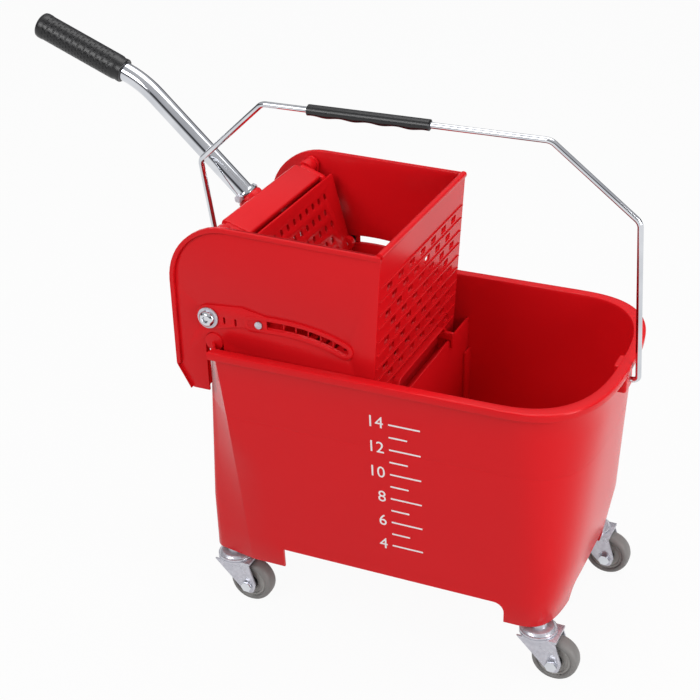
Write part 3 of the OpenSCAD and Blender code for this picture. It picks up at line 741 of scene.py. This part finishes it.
def bead_outline(width):
    """The bead along a side plate's top and back edges."""
    top_front = (front_at(FRONT_TOP_Z), FRONT_TOP_Z)
    outer = rounded([FOOT, BACK_LOW, (BACK_X, WRINGER_H), top_front], [0, 6, TOP_BACK, 0], 14)
    inner = []
    for i, p in enumerate(outer):
        a, b = outer[max(i - 1, 0)], outer[min(i + 1, len(outer) - 1)]
        across = turned((b - a).normalized(), -pi / 2)
        inner.append(p + across * max(0.6, width * min(1, i / 6)))
    return outer + inner[::-1]


EYE_R = 14
SLOT_HALF = 4.3
SLOT_BODY_HALF = 9.2
SLIT_XS = (-171, -158)
SLIT_Z = 357
RUNG_X = -105
RUNG_PITCH = 13.6


def side_plates():
    """Both side plates, with their beads, flanges and the raised eye and rim of the slot."""
    parts = []
    for s in (-1, 1):
        out = s * PLATE_Y
        slits = [slot_hole((x, SLIT_Z), 2.4, 8, 3) for x in SLIT_XS]
        holes = [band(SLOT_PATH, SLOT_HALF), circle(PIVOT, PIVOT_HOLE), *slits]
        parts.append(upright("side", side_outline(), out - s * PLATE_T, out, holes, 0.5))
        parts.append(upright("bead", bead_outline(4.6), out - s * 2, out + s * 3, (), 0.18, 2))
        x = STUD_X - NOTCH_R
        parts.append(upright("tail_flange", rectangle(x - 2.5, 276, x, 336, 0.4, 2),
                             out - s * 7.5, out - s * 0.5, edge=0.3))
        eye = arc(PIVOT, EYE_R, pi / 2, pi, 16)
        neck = [PIVOT + Vector((38, -5)), SLOT_PATH[2] - Vector((0, SLOT_BODY_HALF)),
                SLOT_PATH[2] + Vector((0, SLOT_BODY_HALF)), PIVOT + Vector((38, 17.5))]
        parts.append(upright("eye", eye + neck, out, out + s * 1.6,
                             [circle(PIVOT, 5.6), *slits], 0.3))
        parts.append(upright("slot_rim", band(SLOT_PATH, SLOT_BODY_HALF), out - s * 0.4,
                             out + s * 2, [band(SLOT_PATH, SLOT_HALF + 0.1)], 0.7))
        if s < 0:
            for k in range(5):
                x = RUNG_X + k * RUNG_PITCH
                middle = min(SLOT_PATH, key=lambda p: abs(p.x - x)).y
                rung = rectangle(x - 0.7, middle - 3.9, x + 0.7, middle + 3.9, 0.3, 2)
                parts.append(upright("rung", rung, out - s * 2.9, out - s * 1.9, (), 0.2, 0))
    return join("side_plates", parts)


RIB_TOP = WRINGER_H - 40
RIB_PITCH = 15
WINDOW_PITCH = 29
LEAN = Vector((WALL_LEAN, 0, 1)).normalized()
WALL_FRAME = Matrix(((0, LEAN.x, LEAN.z, 0), (1, 0, 0, 0), (0, LEAN.z, -LEAN.x, 0),
                     (0, 0, 0, 1)))


def slotted_wall():
    """The ribbed wall with staggered windows, its rolled top edge and its ribs."""
    base = Matrix.Translation(((front_at(DRAIN_Z) - 1.5) * MM, 0, DRAIN_Z * MM)) @ WALL_FRAME
    high = (FRONT_TOP_Z - DRAIN_Z) / LEAN.z
    holes = []
    for i in range(9):
        z = (RIB_TOP - (i + 1) * RIB_PITCH + RIB_PITCH / 2 - DRAIN_Z) / LEAN.z
        for j in range(-4, 5):
            y = (j + (i % 2) / 2) * WINDOW_PITCH
            if abs(y) < 97.5:
                holes.append([Vector((y, z)) + p for p in rectangle(-6.5, -3.6, 6.5, 3.6, 1.2, 2)])
    parts = [plate("sheet", rectangle(-112.5, 0, 112.5, high), holes, 3, 0.3, base, 0)]
    for i in range(10):
        z = RIB_TOP - i * RIB_PITCH
        x = front_at(z)
        parts.append(level("rib", rectangle(x - 2, -111.5, x + 1.5, 111.5, 0.4, 2),
                           z - 0.6, z + 0.6, edge=0.4))
    end_y = 114
    run = 2 * end_y
    roll = [(0.01, 0), (3.1, 0), (3.5, 0.5), (3.5, run - 0.5), (3.1, run), (0.01, run)]
    top = Matrix.Translation(((front_at(FRONT_TOP_Z) - 1.5) * MM, end_y * MM, 455.5 * MM))
    parts.append(lathe("rolled_edge", roll, top @ Matrix.Rotation(radians(90), 4, "X"), 24))
    return join("slotted_wall", parts)


def partition_hook():
    """A thin raised rim on the slotted wall, with two hooks that grip the partition."""
    low, high = 280.3, 289
    root = front_at(low)
    reach = 9.5
    rim_half, rim_low, rim_high, rim_w = 68, 264, 297, 2.4
    facing = Matrix.Translation(((root + 4) * MM, 0, 0)) @ YZ
    outer = rectangle(-rim_half, rim_low, rim_half, rim_high, 10, 6)
    inner = rectangle(-rim_half + rim_w, rim_low + rim_w, rim_half - rim_w, rim_high - rim_w,
                      10 - rim_w, 6)
    parts = [plate("rim", outer, [inner], 10, 0.7, facing, 2)]
    for y in (-66, 66):
        arm = rectangle(root - 1, y - 2.5, reach, y + 2.5, 1.2)
        toe = rectangle(reach - 3, y - 2.5, reach, y + 2.5, 1.0)
        parts.append(level("hook_arm", arm, low, high, edge=0.8, steps=2))
        parts.append(level("hook_toe", toe, low - 9, low + 2, edge=0.6))
    return join("partition_hook", parts)


def drain_tray():
    """The slotted tray under the mop and the low wall behind it."""
    x0 = STUD_X + 15
    length = front_at(DRAIN_Z) - 1 - x0
    pitch = length / 12
    holes = [slot_hole((x0 + i * pitch, j * 42), 5, 30) for i in range(1, 12)
             for j in range(-2, 3)]
    tray = level("tray", rectangle(x0, -112.5, x0 + length, 112.5), DRAIN_Z, DRAIN_Z + 3,
                 holes, 0.5)
    back = level("tray_back", rectangle(x0, -112.5, x0 + 3, 112.5), DRAIN_Z, DRAIN_Z + 78,
                 edge=0.8)
    return join("drain_tray", [tray, back])


own(side_plates(), "wringer", "shell", RED, "wringer_body")
own(slotted_wall(), "wringer", "shell", RED)
own(partition_hook(), "wringer", "shell", RED)
own(drain_tray(), "wringer", "shell", RED)


# ---- Press ------------------------------------------------------------------------------
ARM_OUT = 111
ARM_T = 5
CAP_HALF = 82
PRESS_HALF = 104


def offset(p, dx, dy):
    return p + Vector((dx, dy))


def aim(p, angle, start):
    """A frame whose Z axis runs along the lever from the point p."""
    base = p + Vector((cos(angle), sin(angle))) * start
    return Matrix.Translation((base.x * MM, 0, base.y * MM)) @ Matrix.Rotation(
        pi / 2 - angle, 4, "Y")


def press_frame():
    """The red frame that the lever turns: cap, back panel, arms, knuckles and socket."""
    parts = []
    cap = [offset(HINGE, *p) for p in ((-14, -15), (-8, 9), (24, -1.5), (19, -12), (-2, -20))]
    parts.append(upright("cap", rounded(cap, [3, 4, 2, 2, 3], 5), -CAP_HALF, CAP_HALF,
                         edge=1.2, steps=3))
    panel = [offset(HINGE, -15, -6), offset(HINGE, -9, -8), offset(HINGE, -13, -34),
             offset(PIVOT, -3, 20), offset(PIVOT, -8, 20), offset(HINGE, -20, -34)]
    parts.append(upright("panel", panel, -106.5, 106.5, edge=0.8))
    for s in (-1, 1):
        d = (HINGE - PIVOT).normalized()
        a0 = atan2(d.y, d.x)
        low = arc(PIVOT, 13, a0 + pi / 2, pi, 14)
        top = arc(HINGE, 9, a0 - pi / 2, pi, 14)
        parts.append(upright("knuckle", circle(HINGE, 8.5), s * 91.5, s * 105.8,
                             [circle(HINGE, 4.3)], 1, 2))
        parts.append(upright("arm", low + top, s * (ARM_OUT - ARM_T), s * ARM_OUT,
                             [circle(PIVOT, PIVOT_HOLE)], 0.9))
    socket = [(0.01, -22), (14.5, -22), (14.5, -0.4), (14.1, 1), (13.1, 2), (10.4, 2),
              (10.1, 1.6), (10.1, -6), (0.01, -6)]
    parts.append(lathe("socket", socket, aim(LEVER_OUT, LEVER_A, 0)))
    return join("press_yoke", parts)


PLATE_TOP = HINGE + Vector((27, -9))
PLATE_DIR = (GUIDE - PLATE_TOP).normalized()
PLATE_LEN = (GUIDE - PLATE_TOP).length + 24


def along_plate(d):
    """A point on the press plate's line, d below its top."""
    return PLATE_TOP + PLATE_DIR * d


def press_plate():
    """The perforated plate that squeezes the mop, with its hinge ears and pin bosses."""
    down = Vector((PLATE_DIR.x, 0, PLATE_DIR.y))
    face = Vector((0, 1, 0)).cross(-down)
    base = Matrix(((0, -down.x, face.x, PLATE_TOP.x * MM), (1, 0, face.y, 0),
                   (0, -down.z, face.z, PLATE_TOP.y * MM), (0, 0, 0, 1)))
    holes = []
    for i in range(6):
        for j in range(-6, 7):
            y = (j + (i % 2) / 2) * 15
            if abs(y) < PRESS_HALF - 14 and abs(abs(y) - CAP_HALF - 4) > 9:
                holes.append(slot_hole((y, -(14 + i * 16)), 5, 7.4, 4))
    panel = rectangle(-PRESS_HALF, -PLATE_LEN, PRESS_HALF, 3, 1.5)
    parts = [plate("press", panel, holes, 3, 0.6, base)]
    for s in (-1, 1):
        ear = [offset(HINGE, -5.6, 3.2), offset(HINGE, -1, 6.4), offset(PLATE_TOP, 0, 5),
               along_plate(-3), along_plate(26), offset(HINGE, -1, -6.4),
               offset(HINGE, -5.6, -3.2)]
        y = CAP_HALF + 0.6
        parts.append(upright("ear", rounded(ear, [2, 3, 3, 1, 2, 3, 2], 4), s * y, s * (y + 8),
                             edge=0.8))
        boss = circle(GUIDE, 8)
        parts.append(upright("boss", boss, s * (PRESS_HALF - 8), s * PRESS_HALF, edge=0.8))
    return join("press_panel", parts)


own(press_frame(), "press_frame", "shell", RED, "press_frame")
own(press_plate(), "press_plate", "shell", RED, "press_plate")
own(copy_of("hinge_pin", "press_hinge_pin", 0.4), "press_frame", "zinc", ZINC, "hinge_pin")
own(copy_of("hinge_pin_clips", "hinge_clips", 0.2), "press_frame", "zinc", ZINC,
    "hinge_pin_clips")
own(copy_of("lever_bolt", "lever_cross_bolt", 0.4), "press_frame", "zinc", ZINC, "lever_bolt")
own(copy_of("guide_pins", "press_guide_pins", 0.3), "press_plate", "zinc", ZINC, "guide_pins")
own(copy_of("guide_pin_rollers", "press_guide_rollers", 0.3), "press_plate", "grip_plastic",
    FINGERS, "guide_pin_rollers")
own(copy_of("pivot_bolts", "wringer_pivot_bolts", 0.7), "wringer", "chrome", CHROME,
    "pivot_bolts")
own(copy_of("pivot_washers", "wringer_pivot_washers", 0.5), "wringer", "zinc", ZINC,
    "pivot_washers")
own(copy_of("pivot_nuts", "wringer_pivot_nuts", 0.6), "wringer", "zinc", ZINC, "pivot_nuts")


# ---- Lever -----------------------------------------------------------------------------
def lever_point(run, upper=0.0):
    """A point on the lever's middle line: run up its lower length, then upper past the bend."""
    p = LEVER_OUT + Vector((cos(LEVER_A), sin(LEVER_A))) * run
    a = LEVER_A + LEVER_BEND
    p = p + Vector((cos(a), sin(a))) * upper
    return Vector((p.x, 0, p.y))


def lever_tube():
    return bent_rod("lever_bar", [lever_point(-20), lever_point(LEVER_RUN),
                                  lever_point(LEVER_RUN, UPPER_RUN - 6)], [110], 20, 40)


def lever_grip():
    """A rubber sleeve with rows of raised pips between a flared mouth and a smooth cap."""
    steps, rows = 32, 22
    length = 108
    first, last = 12.0, 98.0
    profile = [(10.05, 0.4), (12.4, 0), (13.0, 0.8), (13.0, 3), (12.6, 6), (13.4, 8), (13.6, 11)]
    body = [(13.6, first + (last - first) * i / (rows * 2)) for i in range(rows * 2 + 1)]
    cap = [(13.8, 99), (14, 100), (14, 104), (13.4, 106.2), (12, 107.4), (9, 108), (0.01, 108)]
    grip = wrapped("lever_sleeve", [hoop(r, z, steps) for r, z in profile + body + cap])
    pick(grip)
    bpy.ops.object.mode_set(mode="EDIT")
    bpy.ops.mesh.select_mode(type="FACE")
    bpy.ops.object.mode_set(mode="OBJECT")
    for face in grip.data.polygons:
        c = face.center / MM
        row = int((c.z - first) / (last - first) * rows * 2)
        spoke = int(round(atan2(c.y, c.x) / (2 * pi) * steps - 0.5)) % steps
        inside = first < c.z < last and c.xy.length > 13
        face.select = inside and row % 2 == 1 and (spoke + row // 2) % 2 == 0
    bpy.ops.object.mode_set(mode="EDIT")
    bpy.ops.mesh.extrude_faces_move(TRANSFORM_OT_shrink_fatten={"value": -0.35 * MM})
    bpy.ops.mesh.inset(thickness=0.5 * MM, depth=0.3 * MM, use_individual=True)
    bpy.ops.object.mode_set(mode="OBJECT")
    start = UPPER_RUN - length
    base = lever_point(LEVER_RUN, start)
    matrix = Matrix.Translation(base * MM) @ Matrix.Rotation(
        pi / 2 - LEVER_A - LEVER_BEND, 4, "Y")
    place(grip, matrix)
    return smooth(grip, 35)


def lever_ferrule():
    profile = [(10.05, 0.2), (12.6, 0), (13.3, 0.5), (13.5, 1.2), (13.5, 2.2), (12.4, 3),
               (11.8, 4), (11.8, 5.2), (11.2, 5.8), (10.05, 6)]
    return lathe("lever_collar", profile, aim(LEVER_OUT, LEVER_A, 2.3))


own(lever_tube(), "press_frame", "chrome", CHROME, "lever_tube")
own(lever_grip(), "press_frame", "grip_rubber", RUBBER, "lever_grip")
own(lever_ferrule(), "press_frame", "chrome", CHROME, "lever_ferrule")


# ---- Bail --------------------------------------------------------------------------------
LEANING = Matrix.Translation((0, 0, BAIL_Z * MM)) @ Matrix.Rotation(BAIL_LEAN, 4, "X")


def bail_wire():
    foot, leg, half = 214.5, 190, 147
    points = [(-foot, 0, 0), (-BAIL_X, 0, 0), (-BAIL_X, 0, leg), (-half, 0, BAIL_TOP),
              (half, 0, BAIL_TOP), (BAIL_X, 0, leg), (BAIL_X, 0, 0), (foot, 0, 0)]
    wire = bent_rod("bail_bar", points, [6, 12, 12, 12, 12, 6], 6, 20)
    return place(wire, LEANING)


def bail_grip():
    """A finger grip: flat on top, with four waves underneath."""
    steps, rows, length = 28, 84, 129
    start = -98
    waves = 4
    rings = []
    for k in range(rows + 1):
        along = length * k / rows
        end = min(along, length - along)
        waist = 0.5 - 0.5 * cos(2 * pi * (along - 6) / (length - 12) * waves)
        ease = 1 - 0.5 * max(0.0, 1 - end / 1.6) ** 2
        ring = []
        for i in range(steps):
            a = 2 * pi * i / steps
            under = max(0.0, -sin(a))
            over = max(0.0, sin(a))
            r = (5.7 + 0.5 * abs(cos(a)) - 0.5 * over) * ease
            r += under ** 1.5 * (0.8 * waist - 1.0 * (1 - waist)) * ease
            ring.append((start + along, -r * cos(a), BAIL_TOP + r * sin(a)))
        rings.append(ring)
    grip = wrapped("bail_finger_grip", rings)
    place(grip, LEANING)
    return smooth(grip, 50)


own(bail_wire(), "bail", "chrome", CHROME, "bail_wire")
own(bail_grip(), "bail_grip", "grip_plastic", FINGERS, "bail_grip")


# ---- Castors -------------------------------------------------------------------------------
CASTORS = [(-186, -100), (168, -100), (168, 100), (-186, 100)]
TRAIL = 20
AXLE_Z = 25


def wheel(n, x, y):
    """Tyre, hub and bushes; each profile runs (radius, distance along the axle)."""
    side = Matrix.Translation(((x + TRAIL) * MM, y * MM, AXLE_Z * MM)) @ Matrix.Rotation(
        radians(90), 4, "X")
    tyre = lathe(f"castor{n}_tread", [
        (18, -8.4), (19, -9.4), (20.5, -9.5), (22.4, -8.8), (24, -7), (24.8, -4.6), (25, -2),
        (25, 2), (24.8, 4.6), (24, 7), (22.4, 8.8), (20.5, 9.5), (19, 9.4), (18, 8.4),
        (17.8, 0), (18, -8.4)], side, 56, 40)
    own(tyre, f"castor{n}_wheel", "tyre", TYRE_GREY_AND_SHADE, f"castor{n}_tyre")
    hub = lathe(f"castor{n}_centre", [
        (8.6, -7), (9.4, -7.4), (14.6, -7), (15.4, -7.8), (17.2, -8.2), (18, -7.8), (18, 7.8),
        (17.2, 8.2), (15.4, 7.8), (14.6, 7), (9.4, 7.4), (8.6, 7), (8.6, -7)], side, 44, 32)
    bush = lathe(f"castor{n}_bush", [
        (4.05, -13), (7.4, -13), (8.5, -12.4), (8.5, 12.4), (7.4, 13), (4.05, 13), (4.05, -13)],
        side, 32, 32)
    own(bush, f"castor{n}_wheel", "grip_plastic", FINGERS)
    own(hub, f"castor{n}_wheel", "hub", HUB, f"castor{n}_hub")


for n, (x, y) in enumerate(CASTORS, 1):
    wheel(n, x, y)
    swivel = f"castor{n}_swivel"
    for node, piece, ease, body, slot, material in (
            ("fork", "horn", 0.7, swivel, "zinc", ZINC),
            ("race", "ball_race", 0.8, swivel, "zinc", ZINC),
            ("axle", "axle_bolt", 0.6, swivel, "chrome", CHROME),
            ("nut", "axle_nut", 0.6, swivel, "zinc", ZINC),
            ("stem", "post", 0.6, "bucket", "zinc", ZINC)):
        node = f"castor{n}_{node}"
        own(copy_of(node, f"castor{n}_{piece}", ease), body, slot, material, node)


# ---- Studio --------------------------------------------------------------------------------
def studio_floor():
    """A pale floor that reads as white to the camera and in anything glossy."""
    bpy.ops.object.select_all(action="DESELECT")
    bpy.ops.mesh.primitive_plane_add(size=14, location=(0, 0, 0))
    floor = bpy.context.object
    floor.name = "floor"
    mat = bpy.data.materials.new("Pale floor")
    mat.use_nodes = True
    nodes, link = mat.node_tree.nodes, mat.node_tree.links.new
    shader = nodes["Principled BSDF"]
    shader.inputs["Base Color"].default_value = (0.55, 0.55, 0.55, 1)
    shader.inputs["Roughness"].default_value = 0.9
    glow = nodes.new("ShaderNodeEmission")
    glow.inputs["Color"].default_value = (1, 1, 1, 1)
    glow.inputs["Strength"].default_value = 1.0
    path = nodes.new("ShaderNodeLightPath")
    share = nodes.new("ShaderNodeMath")
    share.operation = "MULTIPLY"
    share.inputs[1].default_value = 0.95
    either = nodes.new("ShaderNodeMath")
    either.operation = "MAXIMUM"
    mix = nodes.new("ShaderNodeMixShader")
    link(path.outputs["Is Camera Ray"], either.inputs[0])
    link(path.outputs["Is Glossy Ray"], either.inputs[1])
    link(either.outputs["Value"], share.inputs[0])
    link(share.outputs["Value"], mix.inputs["Fac"])
    link(shader.outputs["BSDF"], mix.inputs[1])
    link(glow.outputs["Emission"], mix.inputs[2])
    link(mix.outputs["Shader"], nodes["Material Output"].inputs["Surface"])
    floor.data.materials.append(mat)


def softbox(name, at, towards, width, height, power):
    """A rectangular lamp; places and sizes are in metres, the power in watts."""
    lamp = bpy.data.lights.new(name, "AREA")
    lamp.shape = "RECTANGLE"
    lamp.size, lamp.size_y = width, height
    lamp.energy = power
    obj = bpy.data.objects.new(name, lamp)
    bpy.context.collection.objects.link(obj)
    obj.location = at
    obj.rotation_euler = (Vector(towards) - Vector(at)).to_track_quat("-Z", "Y").to_euler()


def studio_sky():
    """White to the camera; a plain grey surround, darker low down, lights and is mirrored."""
    world = bpy.data.worlds.new("Studio")
    bpy.context.scene.world = world
    world.use_nodes = True
    nodes, link = world.node_tree.nodes, world.node_tree.links.new
    nodes.clear()
    out = nodes.new("ShaderNodeOutputWorld")
    white = nodes.new("ShaderNodeBackground")
    white.inputs["Color"].default_value = (1, 1, 1, 1)
    white.inputs["Strength"].default_value = 1.0
    fill = nodes.new("ShaderNodeBackground")
    fill.inputs["Strength"].default_value = 0.62
    where = nodes.new("ShaderNodeTexCoord")
    split = nodes.new("ShaderNodeSeparateXYZ")
    ramp = nodes.new("ShaderNodeValToRGB")
    ramp.color_ramp.elements[0].position = 0.0
    ramp.color_ramp.elements[0].color = (0.85, 0.85, 0.87, 1)
    ramp.color_ramp.elements[1].position = 1.0
    ramp.color_ramp.elements[1].color = (1, 1, 1, 1)
    for at, shade in ((0.12, 0.10), (0.3, 0.08), (0.42, 0.85)):
        stop = ramp.color_ramp.elements.new(at)
        stop.color = (shade, shade, shade * 1.04, 1)
    path = nodes.new("ShaderNodeLightPath")
    mix = nodes.new("ShaderNodeMixShader")
    link(where.outputs["Generated"], split.inputs["Vector"])
    link(split.outputs["Z"], ramp.inputs["Fac"])
    link(ramp.outputs["Color"], fill.inputs["Color"])
    link(path.outputs["Is Camera Ray"], mix.inputs["Fac"])
    link(fill.outputs["Background"], mix.inputs[1])
    link(white.outputs["Background"], mix.inputs[2])
    link(mix.outputs["Shader"], out.inputs["Surface"])


def camera():
    """The camera: right and up are its own directions, stand its place in metres."""
    data = bpy.data.cameras.new("Camera")
    data.lens = 77.1
    data.sensor_width = 36
    obj = bpy.data.objects.new("Camera", data)
    bpy.context.collection.objects.link(obj)
    right = Vector((0.9115, 0.4105, -0.0246))
    up = Vector((-0.1736, 0.4385, 0.8818))
    back = right.cross(up)
    turn = Matrix((right, up, back)).transposed().to_4x4()
    stand = (0.5189, -1.2956, 1.0456)
    obj.matrix_world = Matrix.Translation(stand) @ turn
    bpy.context.scene.camera = obj


studio_floor()
studio_sky()
softbox("Key", (-0.9, -2.0, 1.7), (0, 0, 0.25), 1.3, 1.0, 27)
softbox("Nose strip", (1.9, -0.5, 0.7), (0.2, 0, 0.2), 0.6, 1.3, 21)
softbox("Overhead", (0.1, 0.4, 2.1), (0, 0, 0.3), 1.6, 1.2, 16)
camera()
bpy.context.scene.view_settings.view_transform = "Standard"
